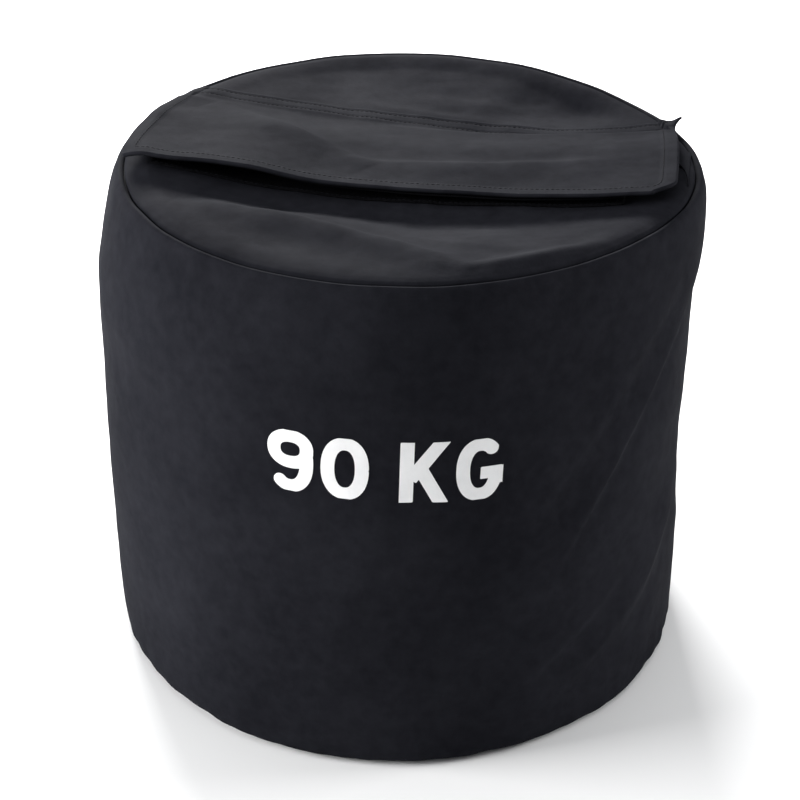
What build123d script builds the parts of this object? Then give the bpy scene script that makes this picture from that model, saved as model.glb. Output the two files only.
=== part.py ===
"""Cylindrical training sandbag: a sewn nylon shell on a flat base, filled with sand in an inner liner.

The sand goes in through a slot across the top, and a wide hook-and-loop flap folds forward over it.
Origin: centre of the base, on the floor. +X runs along the flap, -Y is the front, +Z is up. Millimetres.
"""

from build123d import *
import math
import os

# Shell
body_radius = 216.0
shoulder_height = 284.0  # the wall leans inwards above this
rim_radius = 201.5  # where the wall is sewn to the top
rim_height = 376.5
base_edge_radius = 10.0
fabric = 1.2  # one layer of coated nylon
skin_gap = 0.05  # between layers that lie on each other
sewn_gap = 0.3  # between a panel's edge and the wall's
seam_strip_width = 22.0  # over the joint of the wall's ends
seam_strip_stop = 3.0  # it ends this far under the rim
reinforcement_inset = 4.0  # the base's inner disc is this much smaller

# Tapes that bind the raw edges of the two round seams, inside the bag
base_binding_inside = 194.0
base_binding_outside = 204.0
base_binding_height = 2.0
rim_binding_inside = 195.0
rim_binding_outside = 199.0
rim_binding_height = 10.0

# Fill mouth, a slot across the top
mouth_front = 14.0
mouth_back = 46.0
mouth_half_length = 160.0
mouth_tape_width = 14.0
mouth_tape_thickness = 1.2

# Flap, which hinges on its sewn back edge
flap_hinge = 79.0
flap_back = 96.0  # behind the hinge it is sewn down
flap_front = -54.0
flap_end_radius = 195.0  # its ends follow the rim
flap_layer = 1.2
flap_crest = 8.0  # it arches this far over the mouth
hinge_gap = 0.3

# Hook and loop tapes
tape_front = -51.0
tape_back = -5.0
tape_half_length = 165.0
tape_thickness = 1.4
tape_gap = 0.3  # between hooks and loops as the flap lies

# Liner and sand
liner_thickness = 0.5
liner_top = 356.0
liner_corner = 30.0
slack = 0.3  # round the liner, and round the sand in it
neck_start = 60.0
neck_length = 84.0
neck_height = 6.0
tie_place = 84.0
tie_width = 3.6
tie_thickness = 1.1
tie_reach = 18.0  # across, round the gathered neck
tie_head = 5.2

# Weight figure on the front
mark_height = 46.0
mark_middle = 247.0
mark_azimuth = 8.0  # from the front towards +X
mark_tilt = -1.6
mark_film = 0.3
stroke = 9.5

# Worked out from those
shoulder_rise = rim_height - shoulder_height
shoulder_lean = body_radius - rim_radius
shoulder_curve = (shoulder_lean**2 + shoulder_rise**2) / (2 * shoulder_lean)
flap_thickness = 2 * flap_layer + skin_gap
panel_underside = rim_height - fabric - skin_gap
hinge_height = rim_height + skin_gap + flap_thickness
tape_level = rim_height + 3 * skin_gap + 2 * tape_thickness + tape_gap + flap_thickness
mouth_middle = (mouth_front + mouth_back) / 2
everywhere = 1000.0


def upright(radius_low, radius_high, bottom, top):
    """A ring with square edges, or a disc where radius_low is 0."""
    solid = Cylinder(radius_high, top - bottom, align=(Align.CENTER, Align.CENTER, Align.MIN))
    if radius_low > 0:
        solid -= Cylinder(radius_low, top - bottom, align=(Align.CENTER, Align.CENTER, Align.MIN))
    return Pos(0, 0, bottom) * solid


def slab(x_low, x_high, y_low, y_high, bottom, top):
    """A block between two corners."""
    place = Pos((x_low + x_high) / 2, (y_low + y_high) / 2, (bottom + top) / 2)
    return place * Box(x_high - x_low, y_high - y_low, top - bottom)


def column(x_low, x_high, y_low, y_high):
    """Everything above and below a rectangle of the plan."""
    return slab(x_low, x_high, y_low, y_high, -everywhere, everywhere)


def wall_radius(height, inset):
    """Radius, at a height above the shoulder, of a surface that far inside the wall's outside."""
    reach = shoulder_curve - inset
    return body_radius - shoulder_curve + math.sqrt(reach**2 - (height - shoulder_height) ** 2)


def wall_layer(outer_inset, inner_inset, bottom, top, turn=360):
    """A layer of the wall between two insets, from its base edge to a height under the rim."""
    middle = (shoulder_height + top) / 2
    edge_turn = math.sin(math.radians(45))
    edge_centre = body_radius - base_edge_radius
    ends = []
    with BuildSketch(Plane.XZ) as section:
        with BuildLine():
            for inset in (outer_inset, inner_inset):
                bend = base_edge_radius - inset
                foot = (edge_centre, base_edge_radius - bend)
                elbow = (edge_centre + bend * edge_turn, base_edge_radius - bend * edge_turn)
                side = (edge_centre + bend, base_edge_radius)
                shoulder = (body_radius - inset, shoulder_height)
                lean = (wall_radius(middle, inset), middle)
                brim = (wall_radius(top, inset), top)
                ThreePointArc(foot, elbow, side)
                Line(side, shoulder)
                ThreePointArc(shoulder, lean, brim)
                ends.append((foot, brim))
            Line(ends[0][0], ends[1][0])
            Line(ends[0][1], ends[1][1])
        make_face()
    above = upright(0, 2 * body_radius, bottom, everywhere)
    return revolve(section.sketch, Axis.Z, turn) & above


def filling(inset, bottom, top, corner):
    """A filled shape that stands inside the wall, with round corners at its base and top."""
    middle = (shoulder_height + top) / 2
    side = body_radius - inset
    with BuildSketch(Plane.XZ) as section:
        with BuildLine():
            Polyline((0, top), (0, bottom), (side, bottom), (side, shoulder_height))
            ThreePointArc(
                (side, shoulder_height),
                (wall_radius(middle, inset), middle),
                (wall_radius(top, inset), top),
            )
            Line((wall_radius(top, inset), top), (0, top))
        make_face()
        outer = section.vertices().filter_by(lambda v: v.X > rim_radius / 2)
        fillet(outer.filter_by(lambda v: abs(v.Z - shoulder_height) > 1), corner)
    return revolve(section.sketch, Axis.Z, 360)


def side_wall():
    """One rectangle of nylon, rolled into a tube and turned in under the base."""
    return wall_layer(0, fabric, 0, rim_height)


def side_seam_strip():
    """The felled strip over the joint of the wall's two ends, down the back."""
    turn = math.degrees(seam_strip_width / body_radius)
    top = rim_height - seam_strip_stop
    raised = wall_layer(-skin_gap - fabric, -skin_gap, base_edge_radius, top, turn)
    return Rot(0, 0, 90 - turn / 2) * raised


def base_panel():
    """The disc that the bag stands on."""
    return upright(0, body_radius - base_edge_radius - skin_gap, 0, fabric)


def base_reinforcement():
    """A second disc, sewn to the inside of the base."""
    low = fabric + skin_gap
    return upright(0, body_radius - base_edge_radius - reinforcement_inset, low, low + fabric)


def base_seam_binding():
    """Tape round the raw edges of the base seam, inside the bag."""
    low = 2 * (fabric + skin_gap)
    return upright(base_binding_inside, base_binding_outside, low, low + base_binding_height)


def rim_seam_binding():
    """Tape round the raw edges of the rim seam, inside the bag."""
    low = panel_underside - rim_binding_height
    return upright(rim_binding_inside, rim_binding_outside, low, panel_underside)


def top_disc():
    """The whole top, as cut from one circle, before the mouth is opened."""
    radius = wall_radius(rim_height, fabric) - sewn_gap
    return upright(0, radius, rim_height - fabric, rim_height)


def front_top_panel():
    """The part of the top in front of the mouth."""
    return top_disc() & column(-everywhere, everywhere, -everywhere, mouth_front)


def back_top_panel():
    """The part of the top behind the mouth, which carries the flap."""
    return top_disc() & column(-everywhere, everywhere, mouth_back, everywhere)


def mouth_end_patch(side):
    """A patch bar-tacked between the two panels, at one end of the mouth."""
    reach = sorted((side * mouth_half_length, side * everywhere))
    return top_disc() & column(*reach, mouth_front, mouth_back)


def mouth_edge_tape(y_low, y_high):
    """Webbing sewn under one edge of the mouth, to stiffen it."""
    low = panel_underside - mouth_tape_thickness
    return slab(-mouth_half_length, mouth_half_length, y_low, y_high, low, panel_underside)


def panel_loop_tape():
    """Loop tape on the front panel."""
    low = rim_height + skin_gap
    return slab(-tape_half_length, tape_half_length, tape_front, tape_back, low, low + tape_thickness)


def flap_seam_strip():
    """The flap's turned edge, where two rows of stitches hold it to the back panel."""
    low = rim_height + skin_gap
    strip = slab(-everywhere, everywhere, flap_hinge + hinge_gap, flap_back, low, hinge_height)
    return strip & upright(0, flap_end_radius, low, hinge_height)


def flap_layer_solid(depth_top, depth_bottom):
    """One layer of the flap, between two depths under its upper face."""
    root = flap_hinge - hinge_gap
    crest_place = (root + tape_back) / 2
    with BuildSketch(Plane.YZ) as section:
        with BuildLine():
            for depth in (depth_top, depth_bottom):
                front = (flap_front, tape_level - depth)
                bend = (tape_back, tape_level - depth)
                crest = (crest_place, rim_height + flap_crest + flap_thickness - depth)
                back = (root, hinge_height - depth)
                Line(front, bend)
                ThreePointArc(bend, crest, back)
            Line((flap_front, tape_level - depth_top), (flap_front, tape_level - depth_bottom))
            Line((root, hinge_height - depth_top), (root, hinge_height - depth_bottom))
        make_face()
    band = extrude(section.sketch, body_radius, both=True)
    return band & upright(0, flap_end_radius, rim_height, rim_height + 50)


def flap_outer():
    """The flap's outside layer."""
    return flap_layer_solid(0, flap_layer)


def flap_lining():
    """The flap's inside layer."""
    return flap_layer_solid(flap_layer + skin_gap, flap_thickness)


def flap_hook_tape():
    """Hook tape under the flap's front edge, over the loop tape."""
    high = tape_level - flap_thickness - skin_gap
    return slab(-tape_half_length, tape_half_length, tape_front, tape_back, high - tape_thickness, high)


def liner_floor():
    """Height of the liner's underside, over the base seam binding."""
    return 2 * (fabric + skin_gap) + base_binding_height + slack


def liner_bag():
    """The inner liner, a loose bag of thin coated cloth that holds the sand."""
    inset = fabric + slack
    low = liner_floor()
    outside = filling(inset, low, liner_top, liner_corner)
    return outside - filling(
        inset + liner_thickness,
        low + liner_thickness,
        liner_top - liner_thickness,
        liner_corner - liner_thickness,
    )


def sand_fill():
    """The sand, settled level in the liner."""
    inset = fabric + 2 * slack + liner_thickness
    low = liner_floor() + liner_thickness + slack
    return filling(inset, low, liner_top - liner_thickness - slack, liner_corner)


def neck_section(x, width, height):
    """The liner's gathered neck, in section at one place along it."""
    centre = (x, mouth_middle, liner_top + skin_gap + height / 2)
    return Plane(centre, x_dir=(0, 1, 0), z_dir=(1, 0, 0)) * RectangleRounded(width, height, height * 0.45)


def liner_neck():
    """The liner's filling neck, rolled shut and laid flat in the mouth, with its tail spread."""
    tail_height = neck_height - 2
    # share of the neck's length, width and height there
    stations = [(0.0, 26, neck_height), (0.29, 13, neck_height), (0.5, 16, neck_height), (1.0, 28, tail_height)]
    return loft(
        [neck_section(neck_start + share * neck_length, width, height) for share, width, height in stations],
        ruled=True,
    )


def liner_tie():
    """A cable tie round the neck, with its square head on top."""
    outside_height = neck_height + 2 * tie_thickness + 0.2
    inside_height = neck_height + 0.2
    outer = neck_section(tie_place - tie_width / 2, tie_reach, outside_height)
    inner = neck_section(tie_place - tie_width, tie_reach - 2 * tie_thickness - 0.2, inside_height)
    band = extrude(outer, tie_width) - extrude(inner, 2 * tie_width)
    high = liner_top + skin_gap + outside_height
    head = slab(
        tie_place - tie_head / 2,
        tie_place + tie_head / 2,
        mouth_middle + 2,
        mouth_middle + 8,
        high - 0.4,
        high + 3,
    )
    return band + head


half_glyph = 16.0
half_mark = mark_height / 2


def oval(half_width, half_height, centre=(0, 0)):
    """An oval at a place."""
    return Pos(*centre) * Ellipse(half_width, half_height)


def block(x_low, x_high, y_low, y_high):
    """A rectangle between two corners."""
    place = Pos((x_low + x_high) / 2, (y_low + y_high) / 2)
    return place * Rectangle(x_high - x_low, y_high - y_low)


def zero():
    """The figure 0."""
    return oval(half_glyph, half_mark) - oval(half_glyph - stroke, half_mark - stroke * 0.85)


def nine():
    """The figure 9: a round bowl on a tail that curls under it."""
    bowl = half_mark * 0.62
    centre = (0, half_mark - bowl)
    tail = zero() - block(-half_glyph, half_glyph, centre[1], half_mark)
    tail -= block(-half_glyph, 0, -half_mark * 0.45, half_mark)
    head = oval(half_glyph, bowl, centre)
    return (tail + head) - oval(half_glyph - stroke, bowl - stroke * 0.82, centre)


def letter_k():
    """The letter K: a stem with an arm and a leg that meet on it."""
    inner = stroke - half_glyph
    stem = block(-half_glyph, inner, -half_mark, half_mark)
    arm = Polygon((inner, -9), (half_glyph, half_mark), (5, half_mark), (inner, 4), align=None)
    leg = Polygon((-3, 4), (half_glyph - 10, -half_mark), (half_glyph + 1, -half_mark), (6, 4), align=None)
    return stem + arm + leg


def letter_g():
    """The letter G."""
    bowl = zero() - block(2, half_glyph, -1, half_mark * 0.42)
    bar = block(1, half_glyph - 1, -7, 1)
    return bowl + bar


def weight_mark():
    """A plain weight figure in heat-pressed film, curved to the wall."""
    turn = math.radians(mark_azimuth)
    outward = (math.sin(turn), -math.cos(turn), 0)
    reach = body_radius + 10
    start = (outward[0] * reach, outward[1] * reach, mark_middle)
    plane = Plane(start, x_dir=(math.cos(turn), math.sin(turn), 0), z_dir=outward)
    glyphs = [(-63, nine()), (-26, zero()), (26, letter_k()), (63, letter_g())]
    face = Sketch() + [Pos(x, 0) * glyph for x, glyph in glyphs]
    cut = extrude(plane * (Rot(0, 0, mark_tilt) * face), -60)
    inside = body_radius + skin_gap
    return cut & upright(inside, inside + mark_film, 0, rim_height)


nodes = {
    "side_wall": side_wall(),
    "side_seam_strip": side_seam_strip(),
    "base_panel": base_panel(),
    "base_reinforcement": base_reinforcement(),
    "base_seam_binding": base_seam_binding(),
    "rim_seam_binding": rim_seam_binding(),
    "front_top_panel": front_top_panel(),
    "back_top_panel": back_top_panel(),
    "mouth_end_patch_left": mouth_end_patch(-1),
    "mouth_end_patch_right": mouth_end_patch(1),
    "mouth_front_tape": mouth_edge_tape(mouth_front - mouth_tape_width, mouth_front),
    "mouth_back_tape": mouth_edge_tape(mouth_back, mouth_back + mouth_tape_width),
    "panel_loop_tape": panel_loop_tape(),
    "flap_seam_strip": flap_seam_strip(),
    "flap_outer": flap_outer(),
    "flap_lining": flap_lining(),
    "flap_hook_tape": flap_hook_tape(),
    "liner_bag": liner_bag(),
    "liner_neck": liner_neck(),
    "liner_tie": liner_tie(),
    "sand_fill": sand_fill(),
    "weight_mark": weight_mark(),
}

os.makedirs("parts", exist_ok=True)
for name, solid in nodes.items():
    export_step(solid, os.path.join("parts", name + ".step"))
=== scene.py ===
import bmesh
import bpy
import math
import numpy as np
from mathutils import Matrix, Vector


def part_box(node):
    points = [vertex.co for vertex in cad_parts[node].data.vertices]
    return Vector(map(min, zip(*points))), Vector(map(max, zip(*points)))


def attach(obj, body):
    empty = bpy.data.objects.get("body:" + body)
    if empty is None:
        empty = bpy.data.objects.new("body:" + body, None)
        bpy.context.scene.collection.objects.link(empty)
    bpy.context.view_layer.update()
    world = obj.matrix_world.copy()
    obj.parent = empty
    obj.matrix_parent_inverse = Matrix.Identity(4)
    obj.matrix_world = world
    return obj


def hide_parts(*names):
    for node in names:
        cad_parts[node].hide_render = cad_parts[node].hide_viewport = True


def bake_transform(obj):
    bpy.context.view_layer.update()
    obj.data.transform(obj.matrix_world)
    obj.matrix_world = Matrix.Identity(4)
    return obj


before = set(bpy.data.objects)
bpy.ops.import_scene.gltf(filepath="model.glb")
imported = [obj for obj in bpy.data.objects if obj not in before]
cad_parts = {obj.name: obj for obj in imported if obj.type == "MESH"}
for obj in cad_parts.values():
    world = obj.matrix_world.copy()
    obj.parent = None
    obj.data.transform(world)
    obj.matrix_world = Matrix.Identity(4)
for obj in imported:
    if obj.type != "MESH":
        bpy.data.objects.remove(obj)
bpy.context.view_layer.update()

# ---------------------------------------------------------------------------------------------------
# Camera. A long lens stands a little over a metre off and looks down on the bag, from ten degrees
# round its front towards +X.
camera_azimuth = math.radians(10)
camera_distance = 1.365
camera_height = 0.966
camera_pitch = math.radians(30.05)
camera_aside = math.radians(0.135)  # it looks this far to the right of the bag's axis
camera_data = bpy.data.cameras.new("camera")
camera_data.lens = 93.9
camera_data.sensor_width = 36
camera_data.clip_start = 0.05
camera = bpy.data.objects.new("camera", camera_data)
camera.location = (
    camera_distance * math.sin(camera_azimuth),
    -camera_distance * math.cos(camera_azimuth),
    camera_height,
)
camera.rotation_euler = (math.pi / 2 - camera_pitch, 0, camera_azimuth - camera_aside)
bpy.context.scene.collection.objects.link(camera)
bpy.context.scene.camera = camera

# ---------------------------------------------------------------------------------------------------
# Side wall. One rectangle of coated nylon, rolled into a tube and packed tight by the sand. It leans
# in at the shoulder, turns down into the rim seam and under into the base seam, and creases on the right.
mm = 0.001
bag_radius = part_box("side_wall")[1].x / mm
rim_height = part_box("side_wall")[1].z / mm
seam_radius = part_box("front_top_panel")[1].x / mm + 1.5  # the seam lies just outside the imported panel
rim_shift = np.array([9.8, 1.7])  # the top sits a little off the base's centre
shoulder_height = 284.0
foot_radius = 10.0
tuck = 3.0  # radius at which the cloth turns down into the rim seam
tuck_depth = 3.5
cloth_thickness = 1.2
skin_gap = 0.1  # between two cloths that touch
wall_inset = 1.0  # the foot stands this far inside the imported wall
side_bulge = 0.8  # how far the sand pushes the side out
shoulder_sink = 0.9
slump_azimuth = 2.25
slump_spread = 0.55
drawn_foot_azimuth = -0.75
drawn_foot_spread = 0.65
drawn_foot_depth = 4.5
fold_trough = 0.3  # depth of the trough beside a fold, as a share of the fold's height
creased_from = 0.35
creased_to = 1.75
crowding_ease = 0.2
wall_columns = 424
inner_wall_rows = 24


def drift(points, wavelength, seed):
    """Slow unevenness, about -1 to 1: eight plane waves in random directions, near one wavelength, summed."""
    draw = np.random.default_rng(seed)
    heading = draw.normal(size=(8, 3))
    heading /= np.linalg.norm(heading, axis=1, keepdims=True)
    lengths = wavelength * draw.uniform(0.7, 1.4, 8)
    phases = draw.uniform(0, 2 * np.pi, 8)
    waves = 2 * np.pi * heading / lengths[:, None]
    return np.sin(points @ waves.T + phases).sum(axis=-1) / 4


def ease(value):
    """0 below 0, 1 above 1, and a smooth S between: 3t^2 - 2t^3."""
    share = np.clip(value, 0, 1)
    return share * share * (3 - 2 * share)


def crease(across, along, path, left_width, right_width, height, trough_share=0.0):
    """Height of a ridge along a curved path on the cloth's flat pattern.

    The path is a quadratic curve through a start, a pull and an end. The ridge falls off as a bell on each
    side, with its own width on each, and may have a shallow trough along its steeper side. It rises from
    nothing and sinks to nothing along the path.
    """
    start, pull, end = (np.array(p, float) for p in path)
    steps = 32
    share = np.linspace(0, 1, steps + 1)[:, None]
    line = (1 - share) ** 2 * start + 2 * share * (1 - share) * pull + share**2 * end
    tangent = 2 * (1 - share) * (pull - start) + 2 * share * (end - pull)
    tangent /= np.linalg.norm(tangent, axis=1, keepdims=True)
    place = np.stack([across, along], axis=-1).reshape(-1, 2)
    away = place[:, None, :] - line[None]
    nearest = np.argmin((away**2).sum(-1), axis=1)
    step = away[np.arange(len(place)), nearest]
    heading = tangent[nearest]
    forward = (step * heading).sum(-1)
    side = heading[:, 0] * step[:, 1] - heading[:, 1] * step[:, 0]
    position = nearest / steps + forward / np.linalg.norm(np.diff(line, axis=0), axis=1).sum()
    taper = np.sin(np.pi * np.clip(position, 0, 1)) ** 0.8
    width = np.where(side > 0, left_width, right_width)
    steep = min(left_width, right_width)
    steep_side = 1 if left_width < right_width else -1
    trough = trough_share * np.exp(-(((side * steep_side - 2.4 * steep) / (1.3 * steep)) ** 2))
    return (height * taper * (np.exp(-((side / width) ** 2)) - trough)).reshape(np.shape(across))


def rim_wobble(azimuth):
    """How far the rim seam strays from a true circle, outwards and upwards.

    Two slow unevennesses added up, less a bell round the bag's right back, where the rim has slumped.
    """
    ring = np.stack([np.sin(azimuth), -np.cos(azimuth), np.zeros_like(azimuth)], axis=-1) * seam_radius
    slump = np.exp(-(((azimuth % (2 * np.pi) - slump_azimuth) / slump_spread) ** 2))
    outwards = 1.0 * drift(ring, 260, 3) + 0.35 * drift(ring, 42, 4) - 3.0 * slump
    upwards = 1.1 * drift(ring, 300, 5) + 0.4 * drift(ring, 48, 6) - 3.6 * slump
    return outwards, upwards


def wall_profile():
    """Radius and height along the wall's outside.

    A quarter circle for the foot, a side that bulges as a quarter of a sine, a quarter ellipse for the
    shoulder, a quarter circle for the tuck and a straight end in the seam.
    """
    foot_edge = bag_radius - wall_inset
    turn = np.radians(np.linspace(-90, 0, 12)[:-1])
    foot = [foot_edge - foot_radius + foot_radius * np.cos(turn), foot_radius + foot_radius * np.sin(turn)]
    height = np.linspace(foot_radius, shoulder_height, 128)[:-1]
    side = [foot_edge + side_bulge * np.sin(np.pi * height / (2 * shoulder_height)), height]
    turn = np.pi / 2 * (1 - (1 - np.linspace(0, 1, 46)) ** 1.35)
    lean = foot_edge + side_bulge - (seam_radius + tuck)
    rise = rim_height - shoulder_height - shoulder_sink
    shoulder = [seam_radius + tuck + lean * np.cos(turn), shoulder_height + rise * np.sin(turn)]
    turn = np.radians(np.linspace(0, 90, 8)[1:])
    tuck_bottom = shoulder_height + rise - tuck
    tucked = [seam_radius + tuck - tuck * np.sin(turn), tuck_bottom + tuck * np.cos(turn)]
    end = [np.array([seam_radius]), np.array([tuck_bottom - tuck_depth])]
    return np.concatenate([np.stack(part, axis=1) for part in (foot, side, shoulder, tucked, end)])


wall_folds = (
    # path on the flat pattern as degrees round from the front and height, left width, right width, height
    (((92, 336), (61, 284), (37, 132)), 6, 24, 4.2),
    (((72, 336), (55, 300), (31, 180)), 11, 28, 3.0),
    (((58, 124), (46, 92), (31, 54)), 6, 20, 2.3),
    (((84, 190), (73, 110), (50, 54)), 9, 24, 3.0),
    (((64, 98), (52, 70), (41, 38)), 6, 14, 1.6),
    (((30, 330), (24, 300), (12, 262)), 18, 18, 0.9),
    (((-8, 150), (-20, 110), (-40, 86)), 20, 14, 0.8),
    (((96, 230), (92, 190), (84, 110)), 40, 30, -4.6),
    (((48, 140), (40, 100), (30, 84)), 9, 7, 0.8),
    (((128, 300), (140, 210), (160, 150)), 22, 9, 3.0),
    (((215, 320), (205, 240), (188, 190)), 18, 12, 2.4),
    (((236, 140), (250, 90), (268, 56)), 20, 9, 2.4),
    (((-70, 330), (-64, 296), (-60, 270)), 16, 12, 1.0),
)


def wall_push(azimuth, height):
    """How far the wall stands out from its plain shape: drift and folds, less a bell at its left foot."""
    ring = np.stack([np.sin(azimuth) * bag_radius, -np.cos(azimuth) * bag_radius, height], axis=-1)
    push = 0.9 * drift(ring, 230, 11) + 0.35 * drift(ring, 90, 12)
    push += (0.28 * drift(ring, 38, 15) + 0.07 * drift(ring, 15, 17)) * (1 + 0.6 * drift(ring, 160, 16))
    arc = bag_radius * azimuth
    for path, left_width, right_width, rise in wall_folds:
        for turn in (-360, 0, 360):
            line = [(bag_radius * math.radians(a + turn), h) for a, h in path]
            if line[0][0] < arc.min() - 200 or line[0][0] > arc.max() + 200:
                continue
            push = push + crease(arc, height, line, left_width, right_width, rise, fold_trough)
    near_rim = np.exp(-np.clip(rim_height - height, 0, None) / 16)
    near_foot = np.exp(-np.clip(height - 6, 0, None) / 13)
    from_drawn = (azimuth + np.pi) % (2 * np.pi) - np.pi - drawn_foot_azimuth
    push -= drawn_foot_depth * np.exp(-((from_drawn / drawn_foot_spread) ** 2)) * np.exp(-height / 22)
    push += near_rim * 0.7 * drift(ring * [1, 1, 0.25], 30, 13)
    push += near_foot * 0.8 * drift(ring * [1, 1, 0.2], 24, 14)
    return push


def wall_point(azimuth, radius, height, depth=0.0):
    """A point of the wall: its profile turned round the axis, pushed out, and moved over with the rim."""
    outwards, upwards = rim_wobble(azimuth)
    share = ease((height - shoulder_height) / (rim_height - shoulder_height))
    fade = ease((rim_height - height) / 12)
    reach = radius - depth + share * outwards + fade * wall_push(azimuth, height)
    x = reach * np.sin(azimuth) + share * rim_shift[0]
    y = -reach * np.cos(azimuth) + share * rim_shift[1]
    return np.stack([x, y, height + share * upwards], axis=-1)


def grid_faces(rows, columns, round_rows=False, round_columns=False, closed=True):
    """The corner numbers of every face of a grid, which may join up with itself in either direction."""
    down = np.arange(rows - 1 + round_rows)[:, None]
    across = np.arange(columns - 1 + round_columns)[None, :]
    width = columns if closed else columns + round_columns
    last_row = rows if closed else rows + 1
    corners = []
    for step_down, step_across in ((0, 0), (0, 1), (1, 1), (1, 0)):
        corners.append((down + step_down) % last_row * width + (across + step_across) % width)
    return np.stack(corners, axis=-1).reshape(-1, 4)


def make_piece(name, points, faces, pattern, pattern_faces=None):
    """A mesh from points in millimetres, four-cornered faces and places on the flat pattern.

    Its faces are turned round if the volume they enclose, the sum of their triple products, is negative.
    """
    a, b, c, d = (points[faces[:, i]] for i in range(4))
    volume = (a * np.cross(b, c)).sum() + (a * np.cross(c, d)).sum()
    pattern_faces = faces if pattern_faces is None else pattern_faces
    if volume < 0:
        faces = faces[:, ::-1]
        pattern_faces = pattern_faces[:, ::-1]
    mesh = bpy.data.meshes.new(name)
    mesh.vertices.add(len(points))
    mesh.vertices.foreach_set("co", (points * mm).astype(np.float32).ravel())
    mesh.loops.add(faces.size)
    mesh.loops.foreach_set("vertex_index", faces.astype(np.int32).ravel())
    mesh.polygons.add(len(faces))
    mesh.polygons.foreach_set("loop_start", np.arange(0, faces.size, 4, dtype=np.int32))
    mesh.polygons.foreach_set("use_smooth", np.ones(len(faces), bool))
    layer = mesh.uv_layers.new(name="pattern")
    layer.uv.foreach_set("vector", (pattern[pattern_faces.ravel()] * mm).astype(np.float32).ravel())
    mesh.update(calc_edges=True)
    mesh.validate()
    piece = bpy.data.objects.new(name, mesh)
    bpy.context.scene.collection.objects.link(piece)
    return piece


def add_node(tree, kind, **settings):
    """A shader node with its settings and its unlinked inputs' values."""
    node = tree.nodes.new(kind)
    for key, value in settings.items():
        if key in node.inputs:
            node.inputs[key].default_value = value
        else:
            setattr(node, key, value)
    return node


def math_node(tree, operation, first, second=None, third=None):
    """A math node on one to three sockets or numbers."""
    node = add_node(tree, "ShaderNodeMath", operation=operation)
    for socket, value in zip(node.inputs, (first, second, third)):
        if isinstance(value, (int, float)):
            socket.default_value = value
        elif value is not None:
            tree.links.new(value, socket)
    return node.outputs[0]


def weave_group():
    """Plain weave: a dome at each crossing, long along whichever thread is on top.

    The sines of the two directions are the threads, and the sign of their product says which is on top.
    """
    tree = bpy.data.node_groups.new("plain_weave", "ShaderNodeTree")
    tree.interface.new_socket("Place", in_out="INPUT", socket_type="NodeSocketVector")
    tree.interface.new_socket("Threads per metre", in_out="INPUT", socket_type="NodeSocketFloat")
    tree.interface.new_socket("Height", in_out="OUTPUT", socket_type="NodeSocketFloat")
    source = tree.nodes.new("NodeGroupInput")
    result = tree.nodes.new("NodeGroupOutput")
    scaled = add_node(tree, "ShaderNodeVectorMath", operation="SCALE")
    tree.links.new(source.outputs["Place"], scaled.inputs[0])
    tree.links.new(source.outputs["Threads per metre"], scaled.inputs["Scale"])
    parts = tree.nodes.new("ShaderNodeSeparateXYZ")
    tree.links.new(scaled.outputs[0], parts.inputs[0])
    warp = math_node(tree, "SINE", math_node(tree, "MULTIPLY", parts.outputs[0], math.pi))
    weft = math_node(tree, "SINE", math_node(tree, "MULTIPLY", parts.outputs[1], math.pi))
    warp_size = math_node(tree, "ABSOLUTE", warp)
    weft_size = math_node(tree, "ABSOLUTE", weft)
    on_top = math_node(tree, "GREATER_THAN", math_node(tree, "MULTIPLY", warp, weft), 0.0)
    under = math_node(tree, "SUBTRACT", 1.0, on_top)
    warp_dome = math_node(tree, "MULTIPLY", math_node(tree, "SQRT", warp_size), weft_size)
    weft_dome = math_node(tree, "MULTIPLY", math_node(tree, "SQRT", weft_size), warp_size)
    warp_shown = math_node(tree, "MULTIPLY", warp_dome, on_top)
    weft_shown = math_node(tree, "MULTIPLY", weft_dome, under)
    tree.links.new(math_node(tree, "ADD", warp_shown, weft_shown), result.inputs["Height"])
    return tree


def wear_group():
    """Handling marks: broad faint patches of dust and rubbing, and a finer mottle, as masks from 0 to 1."""
    tree = bpy.data.node_groups.new("handling_marks", "ShaderNodeTree")
    tree.interface.new_socket("Place", in_out="INPUT", socket_type="NodeSocketVector")
    tree.interface.new_socket("Patches", in_out="OUTPUT", socket_type="NodeSocketFloat")
    tree.interface.new_socket("Mottle", in_out="OUTPUT", socket_type="NodeSocketFloat")
    source = tree.nodes.new("NodeGroupInput")
    result = tree.nodes.new("NodeGroupOutput")
    for output, scale, detail in (("Patches", 9.0, 3.0), ("Mottle", 110.0, 4.0)):
        noise = add_node(tree, "ShaderNodeTexNoise", Scale=scale, Detail=detail, Roughness=0.6)
        tree.links.new(source.outputs["Place"], noise.inputs["Vector"])
        tree.links.new(noise.outputs["Fac"], result.inputs[output])
    return tree


plain_weave = weave_group()
handling_marks = wear_group()


def new_material(name, **constants):
    """A material, its node tree, and its shader's constant inputs, given by name."""
    material = bpy.data.materials.new(name)
    material.use_nodes = True
    tree = material.node_tree
    for socket, value in constants.items():
        tree.nodes["Principled BSDF"].inputs[socket.replace("_", " ")].default_value = value
    return material, tree


def feed(tree, socket, value):
    """Links a value to one of the shader's inputs."""
    tree.links.new(value, tree.nodes["Principled BSDF"].inputs[socket])


def feed_tint(tree, mask, dark, light):
    """Base colour: a mix of two colours by a mask."""
    tint = add_node(tree, "ShaderNodeMix", data_type="RGBA")
    tint.inputs["A"].default_value = (*dark, 1)
    tint.inputs["B"].default_value = (*light, 1)
    tree.links.new(mask, tint.inputs["Factor"])
    feed(tree, "Base Color", tint.outputs["Result"])


def feed_roughness(tree, mask, share, least):
    """Roughness: its least value plus a share of a mask."""
    feed(tree, "Roughness", math_node(tree, "ADD", math_node(tree, "MULTIPLY", mask, share), least))


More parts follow.
